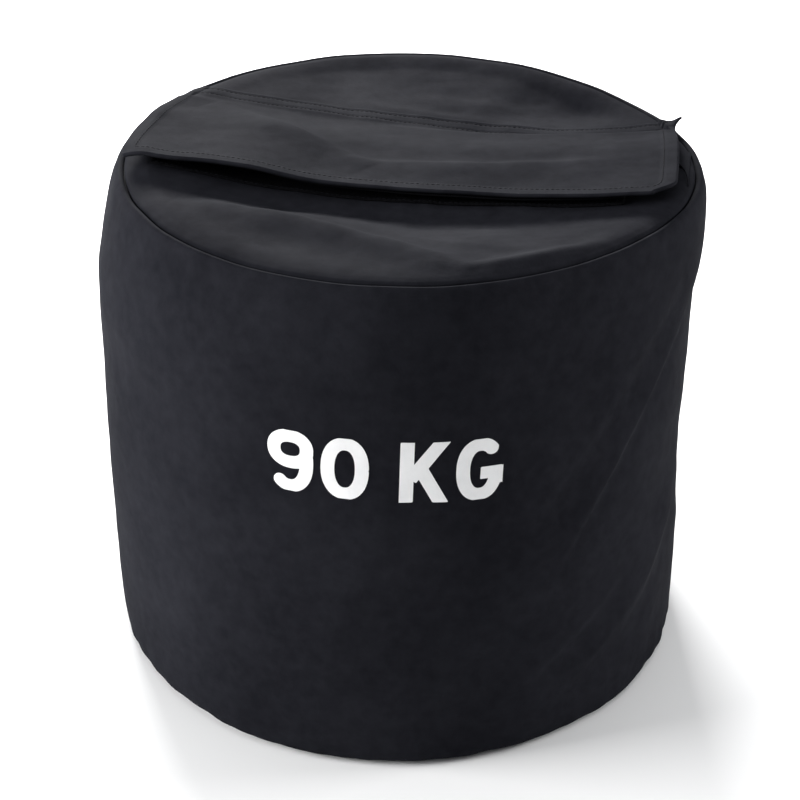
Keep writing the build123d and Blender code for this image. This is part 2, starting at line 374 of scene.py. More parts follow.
def feed_relief(tree, height, distance, strength=1.0):
    """Fine relief: a height in parts of a distance in metres."""
    bump = add_node(tree, "ShaderNodeBump", Strength=strength, Distance=distance)
    tree.links.new(height, bump.inputs["Height"])
    feed(tree, "Normal", bump.outputs[0])


def weave_height(tree, threads):
    """The plain weave on a piece's flat pattern."""
    flat = add_node(tree, "ShaderNodeUVMap", uv_map="pattern")
    weave = add_node(tree, "ShaderNodeGroup", node_tree=plain_weave)
    weave.inputs["Threads per metre"].default_value = threads
    tree.links.new(flat.outputs[0], weave.inputs["Place"])
    return weave.outputs["Height"]


def marks_on(tree):
    """The handling marks in a piece's own space."""
    space = tree.nodes.new("ShaderNodeTexCoord")
    marks = add_node(tree, "ShaderNodeGroup", node_tree=handling_marks)
    tree.links.new(space.outputs["Object"], marks.inputs["Place"])
    return marks.outputs


def cloth_material(name, dark, light, threads, relief, roughness, sheen):
    """Coated woven cloth: weave and mottle as relief and tone, and patches that shift tone and roughness. The
    weave's tone is painted shade, darker between the threads and lighter on their crowns.
    """
    material, tree = new_material(name, Sheen_Weight=sheen, Sheen_Roughness=0.4, Specular_IOR_Level=0.012)
    weave = weave_height(tree, threads)
    marks = marks_on(tree)
    patches = math_node(tree, "MULTIPLY_ADD", marks["Patches"], 1.5, -0.5)
    # Random patches, plus the weave's height as painted shade between the threads; the random mottle is added
    # below.
    tone = math_node(
        tree,
        "ADD",
        math_node(tree, "MULTIPLY", patches, 0.75),
        math_node(tree, "MULTIPLY", weave, 0.45),
    )
    mottle = math_node(tree, "SUBTRACT", marks["Mottle"], 0.5)
    feed_tint(tree, math_node(tree, "ADD", tone, mottle), dark, light)
    rubbed = math_node(tree, "MULTIPLY", math_node(tree, "SUBTRACT", marks["Patches"], 0.5), 0.25)
    feed(tree, "Roughness", math_node(tree, "SUBTRACT", roughness, rubbed))
    crumple = math_node(tree, "MULTIPLY", marks["Mottle"], 4.0)
    feed_relief(tree, math_node(tree, "ADD", weave, crumple), relief)
    return material


shell_threads = 1250  # per metre
shell_cloth = cloth_material(
    "shell_nylon", (0.0082, 0.0085, 0.011), (0.0192, 0.0197, 0.0246), shell_threads, 0.00006, 0.8, 0.0
)


def wall_shell(name, columns, profile, inner_rows, thickness):
    """A tube with a wall: the profile goes up its outside and back down its inside, all the way round.

    Its columns stand three times closer on the creased side than elsewhere, by running the even azimuths
    backwards through the sum of their crowding.
    """
    tangent = np.gradient(profile, axis=0)
    normal = np.stack([tangent[:, 1], -tangent[:, 0]], axis=1)
    normal /= np.linalg.norm(normal, axis=1, keepdims=True)
    back = np.unique(np.round(np.linspace(0, len(profile) - 1, inner_rows)).astype(int))[::-1]
    loop = np.concatenate([profile, (profile - normal * thickness)[back]])
    even = np.linspace(-np.pi, np.pi, 2001)
    creased = ease((even - creased_from) / crowding_ease) - ease((even - creased_to) / crowding_ease)
    crowding = np.cumsum(1 + 2.2 * creased)
    azimuth = np.interp(np.linspace(crowding[0], crowding[-1], columns + 1), crowding, even)
    along = np.concatenate([[0], np.cumsum(np.linalg.norm(np.diff(profile, axis=0), axis=1))])
    along = np.concatenate([along, along[back], along[:1]])
    turn, height = np.meshgrid(azimuth[:-1], loop[:, 1])
    radius = np.broadcast_to(loop[:, :1], turn.shape)
    points = wall_point(turn, radius, height).reshape(-1, 3)
    points[:, 2] = np.maximum(points[:, 2], 0.0)
    pattern = np.stack(np.broadcast_arrays(azimuth[None, :] * bag_radius, along[:, None]), axis=-1)
    faces = grid_faces(len(loop), columns, True, True)
    pattern_faces = grid_faces(len(loop), columns, True, True, closed=False)
    return make_piece(name, points, faces, pattern.reshape(-1, 2), pattern_faces)


profile = wall_profile()


def finish(piece, nodes, material, body=None):
    """What a piece is made of, which nodes it stands for and, if one is given, which body it goes with."""
    piece.data.materials.append(material)
    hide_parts(*nodes)
    if body:
        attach(piece, body)


def finish_sheet(piece, node, material):
    """A cloth piece that goes with the bag's body: its node and its material."""
    finish(piece, [node], material, "bag")


wall_piece = wall_shell("wall", wall_columns, profile, inner_wall_rows, cloth_thickness)
finish_sheet(
    wall_piece, "side_wall", shell_cloth,
)

# ---------------------------------------------------------------------------------------------------
# Thread. Bonded polyester in black, sewn in lock stitches 3.6 mm apart. Each stitch shows as one short
# thread that comes up out of the cloth and goes back down into it.
stitch_pitch = 3.6
stitch_length = 2.9
thread_radius = 0.3
thread, thread_tree = new_material("sewing_thread", Roughness=0.6, Specular_IOR_Level=0.02)
twist = add_node(thread_tree, "ShaderNodeTexWave", Scale=420.0, Distortion=1.0)
thread_space = thread_tree.nodes.new("ShaderNodeTexCoord")
thread_tree.links.new(thread_space.outputs["Object"], twist.inputs["Vector"])
feed_tint(thread_tree, twist.outputs["Fac"], (0.006, 0.006, 0.0075), (0.015, 0.015, 0.018))


def weld(piece):
    """Joins the points of a pole into one."""
    shape = bmesh.new()
    shape.from_mesh(piece.data)
    bmesh.ops.remove_doubles(shape, verts=shape.verts, dist=1e-7)
    shape.to_mesh(piece.data)
    shape.free()


def stitches(name, rows):
    """Rows of stitches. A row is a line of points and the cloth's normals there, cut into even lengths.

    Each stitch is a tube of five rings, round and closed at both ends, that arches from the cloth and back.
    Its middle line is a parabola, and its girth falls to nothing at the ends.
    """
    centres, tangents, normals = [], [], []
    for line, normal in rows:
        run = np.concatenate([[0], np.cumsum(np.linalg.norm(np.diff(line, axis=0), axis=1))])
        places = np.arange(stitch_pitch / 2, run[-1], stitch_pitch)
        ends = [
            np.stack([np.interp(places + step, run, line[:, axis]) for axis in range(3)], axis=1)
            for step in (-0.5, 0.5)
        ]
        centres.append((ends[0] + ends[1]) / 2)
        tangents.append(ends[1] - ends[0])
        normals.append(np.stack([np.interp(places, run, normal[:, axis]) for axis in range(3)], axis=1))
    stacked = [np.concatenate(part)[:, None, None, :] for part in (centres, tangents, normals)]
    centre, tangent, normal = stacked
    tangent = tangent / np.linalg.norm(tangent, axis=-1, keepdims=True)
    aside = np.cross(tangent, normal)
    aside /= np.linalg.norm(aside, axis=-1, keepdims=True)
    upwards = np.cross(aside, tangent)
    rings, sides = 5, 6
    share = np.array([-1, -0.8, 0, 0.8, 1])[None, :, None, None]
    girth = thread_radius * np.sqrt(1 - share**4)
    arch = 0.35 * (1 - 2.4 * share**2) * thread_radius + 0.1
    turn = np.linspace(0, 2 * np.pi, sides + 1)[:-1][None, None, :, None]
    points = (
        centre
        + tangent * share * stitch_length / 2
        + upwards * (arch + girth * np.sin(turn))
        + aside * girth * np.cos(turn)
    )
    each = grid_faces(rings, sides, False, True)
    faces = (each[None] + rings * sides * np.arange(len(centre))[:, None, None]).reshape(-1, 4)
    points = points.reshape(-1, 3)
    piece = make_piece(name, points, faces, points[:, :2])
    weld(piece)
    piece.data.materials.append(thread)
    return piece


def sew_to_bag(name, rows):
    """Rows of stitches that go with the bag's body."""
    piece = stitches(name, rows)
    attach(piece, "bag")


# ---------------------------------------------------------------------------------------------------
# Back seam. The wall's two ends meet at the back, under a strip of the same nylon. It is sewn down along
# both of its edges, from the base up to the shoulder.
strip_low, strip_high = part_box("side_seam_strip")
strip_width = (strip_high.x - strip_low.x) / mm
upper_wall = profile[: np.argmax(profile[:, 1])]


def on_wall(azimuth, height, lift):
    """A point that stands off the wall's outside by lift, at a height on it."""
    return wall_point(azimuth, np.interp(height, upper_wall[:, 1], upper_wall[:, 0]), height, -lift)


strip_turn, strip_rise = np.meshgrid(
    np.pi + np.linspace(-0.5, 0.5, 17) * strip_width / bag_radius,
    np.linspace(strip_low.z / mm, strip_high.z / mm, 180),
)
strip_face = on_wall(strip_turn, strip_rise, cloth_thickness + skin_gap)
strip_cloth = np.stack([(strip_turn - np.pi) * bag_radius, strip_rise], axis=-1)


def surface_normals(points, upwards=True):
    """Unit normals of a grid: the cross product of its two directions, turned up or away from the axis."""
    normal = np.cross(np.gradient(points, axis=1), np.gradient(points, axis=0))
    normal /= np.maximum(np.linalg.norm(normal, axis=-1, keepdims=True), 1e-9)
    outside = normal[..., 2] if upwards else (normal[..., :2] * points[..., :2]).sum(axis=-1)
    return normal * np.sign(outside.mean())


def cloth_solid(name, upper, thickness, pattern, upwards=True):
    """Cloth with a thickness: a grid, the same grid moved back along its normals, and a ring between.

    The ring stands out by 0.8 of half the thickness, so that the edge is round.
    """
    rows, columns = upper.shape[:2]
    lower = upper - surface_normals(upper, upwards) * np.broadcast_to(thickness, (rows, columns))[..., None]
    number = np.arange(rows * columns).reshape(rows, columns)
    edge = np.concatenate([number[0, :-1], number[:-1, -1], number[-1, :0:-1], number[:0:-1, 0]])
    inner = np.concatenate([number[1, :-1], number[:-1, -2], number[-2, :0:-1], number[:0:-1, 1]])
    top = upper.reshape(-1, 3)
    under = lower.reshape(-1, 3)
    middle = (top[edge] + under[edge]) / 2
    out = middle - (top[inner] + under[inner]) / 2
    out /= np.maximum(np.linalg.norm(out, axis=1, keepdims=True), 1e-9)
    half = np.linalg.norm(top[edge] - under[edge], axis=1, keepdims=True) / 2
    points = np.concatenate([top, under, middle + out * half * 0.8])
    flat = pattern.reshape(-1, 2)
    count = rows * columns
    ring = 2 * count + np.arange(len(edge))
    after = np.roll(edge, -1)
    ring_after = np.roll(ring, -1)
    upper_faces = grid_faces(rows, columns)
    faces = np.concatenate(
        [
            upper_faces,
            upper_faces[:, ::-1] + count,
            np.stack([after, edge, ring, ring_after], axis=1),
            np.stack([ring_after, ring, edge + count, after + count], axis=1),
        ]
    )
    return make_piece(name, points, faces, np.concatenate([flat, flat, flat[edge]]))


strip_piece = cloth_solid("back_seam_strip", strip_face, cloth_thickness, strip_cloth, upwards=False)
finish_sheet(
    strip_piece, "side_seam_strip", shell_cloth,
)
strip_normals = surface_normals(strip_face, False)
strip_rows = [(strip_face[4:-3, column], strip_normals[4:-3, column]) for column in (2, 14)]
sew_to_bag("back_seam_stitches", strip_rows)

# ---------------------------------------------------------------------------------------------------
# Base. A disc of heavier nylon, a second one inside it, and a folded tape round the raw edges of the
# seam between base and wall. A ring of stitches holds the two discs together.
base_cloth = cloth_material(
    "base_nylon", (0.0085, 0.0085, 0.0095), (0.017, 0.0172, 0.019), 800, 0.0001, 0.6, 0.05
)
binding_tape = cloth_material(
    "binding_tape", (0.0085, 0.0085, 0.0095), (0.02, 0.02, 0.022), 1500, 0.0001, 0.62, 0.1
)
base_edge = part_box("base_panel")[1].x / mm
base_stitch_radius = 198.0
base_tape_width = 10.0
base_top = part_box("base_panel")[1].z / mm
base_clear = 0.5  # the stitches hold the cloth this far off the floor


def turned(name, loop, columns):
    """A closed outline in radius and height, turned round the axis and drawn in where the wall's foot is."""
    azimuth, radius = np.meshgrid(np.linspace(-np.pi, np.pi, columns + 1)[:-1], loop[:, 0])
    radius = radius * (1 + np.minimum(wall_push(azimuth, np.full(azimuth.shape, 1.0)), 0) / base_edge)
    height = np.broadcast_to(loop[:, 1:], azimuth.shape)
    points = np.stack([radius * np.sin(azimuth), -radius * np.cos(azimuth), height], axis=-1)
    points = points.reshape(-1, 3)
    on_axis = loop[0, 0] == 0
    faces = grid_faces(len(loop), columns, not on_axis, True)
    piece = make_piece(name, points, faces, points[:, :2])
    weld(piece)
    return piece


def disc_outline(radius, low, high):
    """From the axis out along the underside, round the edge and back along the upper side."""
    reach = radius * np.sqrt(np.linspace(0, 1, 40))
    turn = np.radians(np.linspace(-90, 90, 7)[1:-1])
    half = (high - low) / 2
    edge = np.stack([radius + half * (np.cos(turn) - 0.2), low + half + half * np.sin(turn)], axis=1)
    under = np.stack([reach, np.full(40, low)], axis=1)
    over = np.stack([reach[::-1], np.full(40, high)], axis=1)
    return np.concatenate([under, edge, over])


def box_outline(radius_low, radius_high, low, high, corner):
    """A rounded rectangle in radius and height."""
    turn = np.radians(np.arange(0, 360, 15) + 7.5)
    wide, tall = (radius_high - radius_low) / 2 - corner, (high - low) / 2 - corner
    return np.stack(
        [
            (radius_low + radius_high) / 2 + wide * np.sign(np.cos(turn)) + corner * np.cos(turn),
            (low + high) / 2 + tall * np.sign(np.sin(turn)) + corner * np.sin(turn),
        ],
        axis=1,
    )


base_piece = turned("base_disc", disc_outline(base_edge - cloth_thickness, base_clear, base_top), 200)
finish_sheet(
    base_piece, "base_panel", base_cloth,
)
inner_low, inner_high = (corner.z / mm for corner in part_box("base_reinforcement"))
inner_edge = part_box("base_reinforcement")[1].x / mm
inner_disc = turned("inner_base_disc", disc_outline(inner_edge - 1, inner_low, inner_high), 200)
finish_sheet(
    inner_disc, "base_reinforcement", base_cloth,
)
bind_low, bind_high = (corner.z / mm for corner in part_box("base_seam_binding"))
bind_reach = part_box("base_seam_binding")[1].x / mm
bind_outline = box_outline(bind_reach - base_tape_width, bind_reach, bind_low, bind_high, 0.9)
base_binding = turned("base_seam_tape", bind_outline, 240)
finish_sheet(
    base_binding, "base_seam_binding", binding_tape,
)
ring_turn = np.linspace(0, 2 * np.pi, 361)
base_line = np.stack([np.sin(ring_turn), np.cos(ring_turn), np.zeros(361)], axis=1) * base_stitch_radius
base_line[:, 2] = base_clear
sew_to_bag("base_stitches", [(base_line, np.tile([0.0, 0.0, -1.0], (361, 1)))])

# ---------------------------------------------------------------------------------------------------
# Top. Two panels of the same nylon meet the wall in the rim seam and stop at the two lips of the fill
# mouth, with a patch across each end of it. The top has sunk in the middle, and its front has a fold.
mouth_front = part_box("front_top_panel")[1].y / mm
mouth_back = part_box("back_top_panel")[0].y / mm
mouth_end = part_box("mouth_end_patch_right")[0].x / mm
bowl_depth = 13.0
bowl_middle = (18, 20)
bowl_reach = (175, 195)
level_rise = 0.5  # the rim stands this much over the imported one
level_width = 26
valley_middle = (4, -76)  # the front panel's long dip under the flap's front edge
valley_reach = 140
valley_width = 24
valley_depth = 5.0
panel_columns = 300
panel_rows = 110
top_folds = (
    # path in x and y, left width, right width, height
    (((-134, -98), (0, -124), (82, -178)), 10, 20, 7.2),
    (((-120, -92), (10, -112), (80, -160)), 30, 30, 3.0),
    (((66, -181), (128, -156), (186, -100)), 9, 16, 6.2),
    (((40, -118), (90, -138), (140, -128)), 20, 8, 1.6),
    (((-150, -70), (-90, -104), (-20, -112)), 20, 10, 1.6),
    (((-60, 110), (20, 102), (100, 96)), 7, 9, 1.0),
    (((-20, 128), (50, 122), (110, 140)), 10, 12, 1.2),
)
top_hollows = (
    # middle, widths, depth
    ((36, -104), (38, 24), 2.2),
    ((108, 134), (48, 24), 6.5),
)


def bowl_height(x, y):
    """The sunken top without its details: a paraboloid bowl, deepest just right of and behind the axis."""
    spread = ((x - bowl_middle[0]) / bowl_reach[0]) ** 2 + ((y - bowl_middle[1]) / bowl_reach[1]) ** 2
    return rim_height - bowl_depth * (1 - np.minimum(spread, 1.25))


def top_height(x, y):
    """Height of the top's outside: the bowl with folds and hollows, level at the rim and turned down in it.

    Folds are ridges and hollows are bells. One long bell lowers the front panel under the flap's edge.
    """
    from_axis = np.stack([x - rim_shift[0], y - rim_shift[1]], axis=-1)
    azimuth = np.arctan2(from_axis[..., 0], -from_axis[..., 1])
    outwards, upwards = rim_wobble(azimuth)
    inside = seam_radius + outwards - np.linalg.norm(from_axis, axis=-1)
    flat = np.stack([x, y, np.zeros_like(x)], axis=-1)
    body = bowl_height(x, y) + 0.9 * drift(flat, 110, 21)
    body += 0.35 * drift(flat, 40, 22) + 0.1 * drift(flat, 17, 24)
    for path, left_width, right_width, rise in top_folds:
        body += crease(x, y, path, left_width, right_width, rise)
    along_valley = (x - valley_middle[0]) / valley_reach
    across_valley = (y - valley_middle[1]) / valley_width
    body -= valley_depth * np.exp(-(across_valley**2) - along_valley**4)
    for (middle_x, middle_y), (wide, deep), depth in top_hollows:
        body -= depth * np.exp(-(((x - middle_x) / wide) ** 2) - ((y - middle_y) / deep) ** 2)
    near = np.exp(-np.clip(inside, 0, None) / 9)
    body += near * 0.5 * drift(flat, 26, 23)
    level = rim_height + level_rise
    height = level + (body - level) * ease(inside / level_width) + upwards
    turned = np.clip(1 - inside / tuck, 0, 1)
    return height - 0.8 * ease(1 - inside / 8) - tuck * (1 - np.sqrt(1 - turned**2))


def rim_reach(azimuth):
    """Distance from the top's centre to the rim seam."""
    return seam_radius - 0.5 + rim_wobble(azimuth)[0]


def half_top(name, mouth_edge, side):
    """One panel: rows that go from the mouth's straight edge into the rim's arc, then down into the seam.

    Each row is a mix of the straight edge and the arc, and the rows stand closer near the rim.
    """
    offset = mouth_edge - rim_shift[1]
    half_turn = np.arccos(-side * offset / seam_radius)
    across = np.linspace(-1, 1, panel_columns)[None, :]
    share = 1 - (1 - np.linspace(0, 1, panel_rows)[:, None]) ** 1.25
    azimuth = across * (half_turn - 0.006)
    if side > 0:
        azimuth = np.pi - azimuth
    reach = rim_reach(azimuth)
    rim_x = rim_shift[0] + reach * np.sin(azimuth)
    rim_y = rim_shift[1] - reach * np.cos(azimuth)
    mouth_reach = seam_radius * np.sin(half_turn) - 1.0
    x = (1 - share) * (rim_shift[0] + across * mouth_reach) + share * rim_x
    y = (1 - share) * mouth_edge + share * rim_y
    upper = np.stack([x, y, top_height(x, y)], axis=-1)
    drop = upper[-1:].copy()
    drop[..., 2] -= tuck_depth
    upper = np.concatenate([upper, drop])
    pattern = upper[..., :2].copy()
    pattern[-1, :, 1] += side * tuck_depth
    return cloth_solid(name, upper, cloth_thickness, pattern)


front_panel = half_top("front_panel", mouth_front, -1)
finish_sheet(
    front_panel, "front_top_panel", shell_cloth,
)
back_panel = half_top("back_panel", mouth_back, 1)
finish_sheet(
    back_panel, "back_top_panel", shell_cloth,
)
patch_lap = 7.0  # the patches reach this far under both panels


def end_patch(name, side):
    """A patch that is a mix of a straight edge over the mouth's end and the rim's arc, then turned down."""
    rows = np.linspace(mouth_front - patch_lap, mouth_back + patch_lap, 30)[:, None]
    share = np.linspace(0, 1, 40)[None, :]
    from_shift = rows - rim_shift[1]
    azimuth = np.arctan2(side * np.sqrt(seam_radius**2 - from_shift**2), -from_shift)
    reach = rim_reach(azimuth)
    x = (1 - share) * side * mouth_end + share * (rim_shift[0] + reach * np.sin(azimuth))
    y = (1 - share) * rows + share * (rim_shift[1] - reach * np.cos(azimuth))
    upper = np.stack([x, y, top_height(x, y) - cloth_thickness - skin_gap], axis=-1)
    drop = upper[:, -1:].copy()
    drop[..., 2] -= tuck_depth - 1
    upper = np.concatenate([upper, drop], axis=1)
    pattern = upper[..., :2].copy()
    pattern[:, -1, 0] += side * tuck_depth
    return cloth_solid(name, upper, cloth_thickness, pattern)


for side_name, side in (("left", -1), ("right", 1)):
    patch = end_patch("mouth_end_" + side_name, side)
    finish_sheet(
        patch, "mouth_end_patch_" + side_name, shell_cloth,
    )

# ---------------------------------------------------------------------------------------------------
# Rim seam tape. Folded webbing sewn round the raw edges where the wall and the top come together. It
# hangs inside the bag, under the groove of the seam.
rim_loop = box_outline(-2.2, 2.0, -15.2, -4.8, 1.4)  # about the seam's own radius and height
rim_turn = np.tile(np.linspace(-np.pi, np.pi, 361)[:-1], (len(rim_loop), 1))
rim_out, rim_up = rim_wobble(rim_turn)
tape_radius = seam_radius + rim_out + rim_loop[:, :1]
rim_points = np.stack(
    [
        rim_shift[0] + tape_radius * np.sin(rim_turn),
        rim_shift[1] - tape_radius * np.cos(rim_turn),
        rim_height + rim_up + rim_loop[:, 1:],
    ],
    axis=-1,
)
rim_rows = np.broadcast_to(np.arange(len(rim_loop))[:, None] * 1.2, rim_turn.shape)
rim_cloth = np.stack([rim_turn * seam_radius, rim_rows], axis=-1)
rim_faces = grid_faces(*rim_turn.shape, True, True)
rim_tape = make_piece("rim_seam_tape", rim_points.reshape(-1, 3), rim_faces, rim_cloth.reshape(-1, 2))
finish_sheet(
    rim_tape, "rim_seam_binding", binding_tape,
)

# ---------------------------------------------------------------------------------------------------
# Mouth edge tapes. Webbing sewn under the two lips of the mouth with two rows of stitches each, so that
# the lips stay straight.
mouth_tape_thickness = 1.2
mouth_stitch_insets = (2.5, 11.5)
mouth_rows = []
for end_name in ("front", "back"):
    low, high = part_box("mouth_" + end_name + "_tape")
    tape_x, tape_y = np.meshgrid(
        np.linspace(low.x / mm, high.x / mm, 200), np.linspace(low.y / mm, high.y / mm, 12)
    )
    tape_face = np.stack([tape_x, tape_y, top_height(tape_x, tape_y) - cloth_thickness - skin_gap], axis=-1)
    tape = cloth_solid("mouth_tape_" + end_name, tape_face, mouth_tape_thickness, tape_face[..., :2])
    finish_sheet(
        tape, "mouth_" + end_name + "_tape", binding_tape,
    )
    for inset in mouth_stitch_insets:
        row_x = np.linspace(low.x / mm + 2, high.x / mm - 2, 200)
        row_y = np.full(200, low.y / mm + inset)
        mouth_rows.append(
            (np.stack([row_x, row_y, top_height(row_x, row_y)], axis=1), np.tile([0.0, 0.0, 1.0], (200, 1)))
        )
sew_to_bag("mouth_stitches", mouth_rows)

# ---------------------------------------------------------------------------------------------------
# Inner liner. A bag of thin coated cloth that holds the sand, as wide as the wall lets it be. Its
# crumpled top ends in a gathered neck, which is shut with a cable tie and laid in the mouth.
liner_cloth = cloth_material(
    "liner_nylon", (0.05, 0.052, 0.055), (0.085, 0.088, 0.092), 2200, 0.00005, 0.35, 0.05
)
liner_low, liner_high = (corner.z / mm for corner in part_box("liner_bag"))
liner_corner = 30.0
liner_depth = 3.0  # in from the wall's outside
liner_thickness = 0.6
liner_columns = 240
liner_crumple = 1.2


def inside_wall(depth, low, high, columns, crumple):
    """A closed form inside the wall: flat below, up along the wall at a depth, and crumpled on top.

    Its top edge is a quarter circle, and its ends shrink towards the middle of each row.
    """
    side = np.linspace(low, high - liner_corner, 60)
    turn = np.radians(np.linspace(0, 90, 14)[1:])
    round_up = high - liner_corner + liner_corner * np.sin(turn)
    reach_in = liner_corner * (1 - np.cos(turn))
    across = np.linspace(0, 1, 30)
    height = np.concatenate([np.full(29, low), side, round_up, np.full(29, high)])
    inset = np.concatenate([np.zeros(89), reach_in, np.full(29, liner_corner)])
    share = np.concatenate([across[:-1], np.ones(73), across[::-1][1:]])
    azimuth = np.linspace(-np.pi, np.pi, columns + 1)[:-1]
    turn_grid, height_grid = np.meshgrid(azimuth, height)
    radius = np.interp(height_grid, upper_wall[:, 1], upper_wall[:, 0]) - inset[:, None]
    points = wall_point(turn_grid, radius, height_grid, depth)
    middle = points.mean(axis=1, keepdims=True)
    points = middle + (points - middle) * share[:, None, None]
    points[..., 2] = height_grid
    over = ease((height_grid - high + 8) / 8)
    points[..., 2] += over * crumple * (drift(points, 46, 51) + 0.5 * drift(points, 18, 52) - 1.3)
    return points


liner_out = inside_wall(liner_depth, liner_low, liner_high, liner_columns, liner_crumple)
liner_in = inside_wall(
    liner_depth + liner_thickness, liner_low + 0.5, liner_high - liner_thickness, liner_columns, liner_crumple
)
shell_faces = grid_faces(len(liner_out), liner_columns, False, True)
liner_points = np.concatenate([liner_out.reshape(-1, 3), liner_in.reshape(-1, 3)])
liner_faces = np.concatenate([shell_faces, shell_faces[:, ::-1] + len(liner_out) * liner_columns])
liner_piece = make_piece("liner", liner_points, liner_faces, liner_points[:, [0, 2]])
weld(liner_piece)
finish_sheet(
    liner_piece, "liner_bag", liner_cloth,
)
neck_low, neck_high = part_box("liner_neck")
neck_middle = (neck_low.y + neck_high.y) / 2 / mm
neck_over_liner = 3.1
neck_share, neck_turn = np.meshgrid(np.linspace(0, 1, 70), np.linspace(0, 2 * np.pi, 97)[:-1], indexing="ij")
neck_place = neck_low.x / mm + neck_share * (neck_high.x - neck_low.x) / mm
neck_width = np.interp(neck_share, [0, 0.15, 0.29, 0.42, 1], [12.5, 9.5, 6.3, 8.2, 13.5])
neck_thick = np.interp(neck_share, [0, 0.29, 0.5, 1], [2.7, 2.8, 2.5, 1.8])
pleat = 1 + 0.1 * np.cos(11 * neck_turn + 2.2 * np.sin(4 * neck_share)) * np.interp(
    neck_share, [0, 0.29, 0.6, 1], [0.7, 1.4, 1, 0.5]
)
closing = np.sqrt(np.clip(1 - np.abs(2 * neck_share - 1) ** 24, 0, 1))
neck_points = np.stack(
    [
        neck_place + 1.6 * np.sin(3 * neck_turn) * ease((neck_share - 0.6) / 0.4) * closing,
        neck_middle + neck_width * pleat * np.cos(neck_turn) * closing,
        liner_high + neck_over_liner + neck_thick * pleat * np.sin(neck_turn) * closing,
    ],
    axis=-1,
)
neck_cloth = np.stack([neck_share * 84, neck_turn * 8], axis=-1)
neck_faces = grid_faces(*neck_turn.shape, False, True)
neck_points = neck_points.reshape(-1, 3)
neck_piece = make_piece("liner_neck_gathers", neck_points, neck_faces, neck_cloth.reshape(-1, 2))
weld(neck_piece)
finish_sheet(
    neck_piece, "liner_neck", liner_cloth,
)

# ---------------------------------------------------------------------------------------------------
# Cable tie. Moulded black nylon, pulled tight round the liner's neck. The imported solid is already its
# true shape, so it only gets its plastic.
tie_plastic, tie_tree = new_material("tie_nylon", IOR=1.53)
tie_mottle = marks_on(tie_tree)["Mottle"]
feed_tint(tie_tree, tie_mottle, (0.012, 0.012, 0.012), (0.03, 0.03, 0.032))
feed_roughness(tie_tree, tie_mottle, 0.2, 0.25)
for material_slot in bpy.data.objects["liner_tie"].material_slots:
    material_slot.material = tie_plastic

# ---------------------------------------------------------------------------------------------------
# Sand. Dry kiln sand, poured into the liner and settled level. It gives the bag its weight and holds the
# wall in its round shape.
sand, sand_tree = new_material("dry_sand", Specular_IOR_Level=0.35)
sand_space = sand_tree.nodes.new("ShaderNodeTexCoord")
grains = add_node(sand_tree, "ShaderNodeTexVoronoi", Scale=1400.0)
sand_tree.links.new(sand_space.outputs["Object"], grains.inputs["Vector"])
grain_tone = add_node(sand_tree, "ShaderNodeValToRGB")
grain_tone.color_ramp.elements[0].color = (0.32, 0.22, 0.12, 1)
grain_tone.color_ramp.elements[1].color = (0.62, 0.5, 0.34, 1)
sand_tree.links.new(grains.outputs["Color"], grain_tone.inputs["Fac"])
feed(sand_tree, "Base Color", grain_tone.outputs["Color"])
feed_relief(sand_tree, grains.outputs["Distance"], 0.0004, 0.8)
feed_roughness(sand_tree, grains.outputs["Distance"], 0.2, 0.7)
sand_depth = 4.6
sand_columns = 200
sand_rows = inside_wall(sand_depth, liner_low + 1.2, liner_high - 4, sand_columns, 1.6)
sand_points = sand_rows.reshape(-1, 3)
sand_faces = grid_faces(len(sand_rows), sand_columns, False, True)
sand_piece = make_piece("sand", sand_points, sand_faces, sand_points[:, [0, 2]])
weld(sand_piece)
finish(sand_piece, ["sand_fill"], sand, "bag")

# ---------------------------------------------------------------------------------------------------
# Flap. Two layers of the nylon, hemmed on three sides and sewn to the back panel along the fourth. It
# lies over the mouth, dips with the top, and its front edge stands clear of the front panel.
flap_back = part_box("flap_seam_strip")[1].y / mm
flap_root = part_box("flap_outer")[1].y / mm
flap_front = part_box("flap_outer")[0].y / mm
flap_thickness = 2.6
outer_layer = 1.3
sewn_thickness = 1.8  # pressed flat under the stitches
hem_width = 11.0
hem_stitch = hem_width - 2.2
hem_swell = 0.7
rim_overhang = 186  # past this far from the top's centre the flap droops
droop = 0.012
hem_rise = 1.1
front_rise = 6.8
ear_lift = 8.0
ear_place = (186, 92)
left_lift = 5.5
left_lift_middle = -104
left_lift_width = 42
flap_columns = 300
flap_ridges = (
    # path in x and y, left width, right width, height
    (((-150, 66), (-84, 30), (-14, -22)), 9, 22, 5.0),
    (((-50, -12), (50, -14), (170, 8)), 8, 22, 3.6),
    (((-40, 40), (60, 24), (160, 44)), 16, 16, 1.12),
)


def flap_lift(x, y):
    """Height of the flap's upper face over the sunken top: sewn flat, then rising in two eased steps.

    A bell lifts the ear at its right back corner, another its left front, and its ridges are added.
    """
    rise = sewn_thickness + skin_gap + hem_rise * ease((flap_root - y) / 8)
    rise += front_rise * ease((flap_root - y) / 62)
    rise += ear_lift * ease((x - ear_place[0]) / 12) * np.exp(-(((y - ear_place[1]) / 6) ** 2))
    left_bell = np.exp(-(((x - left_lift_middle) / left_lift_width) ** 2))
    rise += left_lift * left_bell * ease((50 - y) / 80)
    for path, left_width, right_width, height in flap_ridges:
        rise += crease(x, y, path, left_width, right_width, height)
    flat = np.stack([x, y, np.zeros_like(x)], axis=-1)
    sway = 0.9 * drift(flat, 120, 31) + 0.4 * drift(flat, 45, 32) + 0.1 * drift(flat, 18, 33)
    return rise + sway * ease((flap_root - y) / 30)


def flap_height(x, y):
    """Height of the flap's upper face. Past the rim it droops, as the square of how far it overhangs."""
    overhang = np.clip(np.hypot(x - rim_shift[0], y - rim_shift[1]) - rim_overhang, 0, None)
    near_seam = ease((y - flap_root + 8) / 10)
    lying = bowl_height(x, y) * (1 - near_seam) + top_height(x, y) * near_seam
    lying = np.where(overhang > 8, bowl_height(x, y), lying)
    return lying + flap_lift(x, y) - droop * overhang**2


